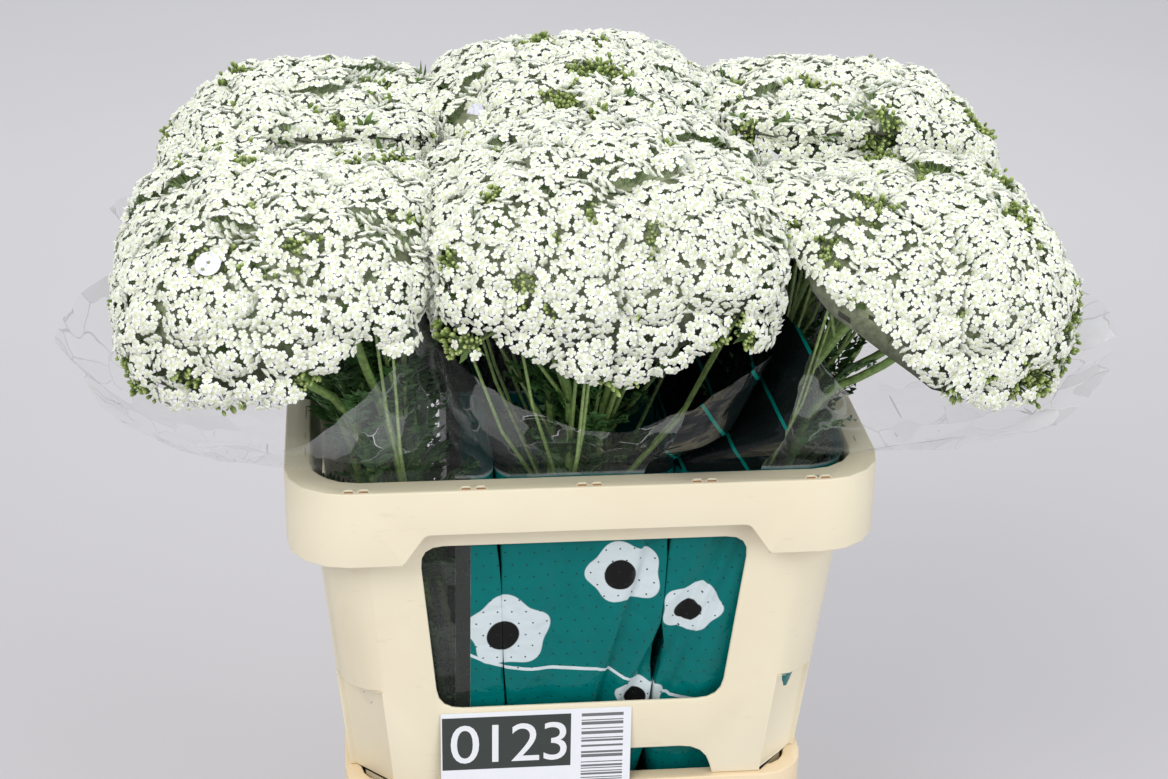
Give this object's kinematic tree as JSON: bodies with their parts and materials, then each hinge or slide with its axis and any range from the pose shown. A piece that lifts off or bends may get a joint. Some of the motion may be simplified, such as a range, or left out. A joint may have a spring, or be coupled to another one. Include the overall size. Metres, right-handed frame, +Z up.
{
  "type": "bucket of cut yarrow",
  "caption": "Sleeved bunches of cut white yarrow standing in a plastic bucket with a windowed stacking collar and a lot card.",
  "frame": {"origin": "middle of the bucket's underside, where it rests", "axes": "+Z up along the stems; front with the card and the printed window faces -Y; the long side of the bucket runs along X"},
  "size_m": [0.729, 0.4473, 0.8184],
  "materials": {
    "bucket_plastic": "peach cream moulded polypropylene, satin, lightly scuffed",
    "collar_plastic": "cream moulded polypropylene, satin, lightly scuffed",
    "card": null,
    "water": "still, slightly green vase water",
    "sleeve_film": "clear crinkled film, part printed teal and black, with rows of tiny holes",
    "band_rubber": "tan rubber band",
    "yarrow": "soft white petals over green stems and feathery leaves",
    "sticker": "plain white round sticker"
  },
  "bodies": {
    "root": {"bucket": "bucket_plastic", "stacking_collar": "collar_plastic", "lot_card": "card", "water": "water", "sleeve_front_left": "sleeve_film", "band_front_left": "band_rubber", "sleeve_front_middle": "sleeve_film", "band_front_middle": "band_rubber", "sleeve_front_right": "sleeve_film", "band_front_right": "band_rubber", "sleeve_back_left": "sleeve_film", "band_back_left": "band_rubber", "sleeve_back_middle": "sleeve_film", "band_back_middle": "band_rubber", "sleeve_back_right": "sleeve_film", "band_back_right": "band_rubber", "yarrow_front_left_1": "yarrow", "yarrow_front_left_2": "yarrow", "yarrow_front_left_3": "yarrow", "yarrow_front_left_4": "yarrow", "yarrow_front_left_5": "yarrow", "yarrow_front_left_6": "yarrow", "yarrow_front_left_7": "yarrow", "yarrow_front_middle_1": "yarrow", "yarrow_front_middle_2": "yarrow", "yarrow_front_middle_3": "yarrow", "yarrow_front_middle_4": "yarrow", "yarrow_front_middle_5": "yarrow", "yarrow_front_middle_6": "yarrow", "yarrow_front_middle_7": "yarrow", "yarrow_front_right_1": "yarrow", "yarrow_front_right_2": "yarrow", "yarrow_front_right_3": "yarrow", "yarrow_front_right_4": "yarrow", "yarrow_front_right_5": "yarrow", "yarrow_front_right_6": "yarrow", "yarrow_front_right_7": "yarrow", "yarrow_back_left_1": "yarrow", "yarrow_back_left_2": "yarrow", "yarrow_back_left_3": "yarrow", "yarrow_back_left_4": "yarrow", "yarrow_back_left_5": "yarrow", "yarrow_back_left_6": "yarrow", "yarrow_back_left_7": "yarrow", "yarrow_back_middle_1": "yarrow", "yarrow_back_middle_2": "yarrow", "yarrow_back_middle_3": "yarrow", "yarrow_back_middle_4": "yarrow", "yarrow_back_middle_5": "yarrow", "yarrow_back_middle_6": "yarrow", "yarrow_back_middle_7": "yarrow", "yarrow_back_right_1": "yarrow", "yarrow_back_right_2": "yarrow", "yarrow_back_right_3": "yarrow", "yarrow_back_right_4": "yarrow", "yarrow_back_right_5": "yarrow", "yarrow_back_right_6": "yarrow", "yarrow_back_right_7": "yarrow", "sticker_1": "sticker", "sticker_2": "sticker"}
  },
  "joints": []
}
